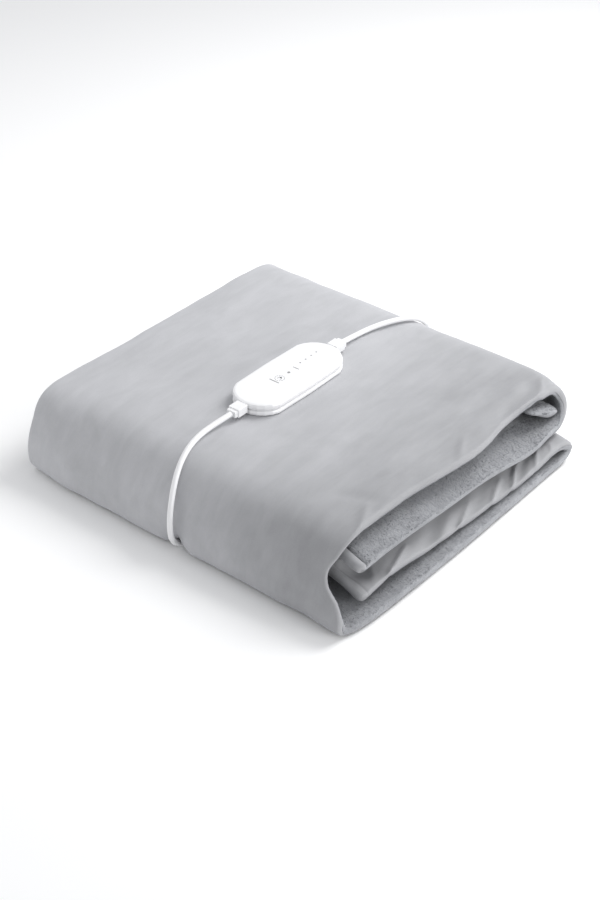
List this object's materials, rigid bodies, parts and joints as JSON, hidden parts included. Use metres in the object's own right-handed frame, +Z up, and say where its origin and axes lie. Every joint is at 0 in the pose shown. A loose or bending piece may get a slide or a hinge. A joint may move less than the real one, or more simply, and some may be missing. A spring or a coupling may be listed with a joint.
{
  "type": "electric heated blanket",
  "caption": "Folded electric heated blanket, smooth outside and plush inside, with an inline controller, lead and plug.",
  "frame": {"origin": "middle of the folded stack's base, on the surface it lies on", "axes": "+X along the stack's long side towards the end whose layers show, +Y from the wrapped front to the folds at the back, +Z up"},
  "size_m": [0.4134, 0.4659, 0.1003],
  "materials": {
    "face_velvet": "short velvet nap, cool light grey, soft sheen",
    "plush_pile": "longer plush pile, mid grey, matt",
    "white_shell": "satin white moulded plastic",
    "white_rubber": "soft white moulded plastic",
    "white_lead": "satin white cable sheath",
    "pin_metal": "plain nickel-plated pin"
  },
  "bodies": {
    "root": {"face_panel": "face_velvet", "plush_panel": "plush_pile", "lead_gland": "white_rubber", "lead_front": "white_lead", "collar_front": "white_rubber", "controller_base": "white_shell", "controller_top": "white_shell", "collar_back": "white_rubber", "lead_back": "white_lead", "lead_coil": "white_lead", "lead_tail": "white_lead", "plug_relief": "white_rubber", "plug_body": "white_rubber", "plug_pin_near": "pin_metal", "plug_pin_far": "pin_metal"}
  },
  "joints": []
}
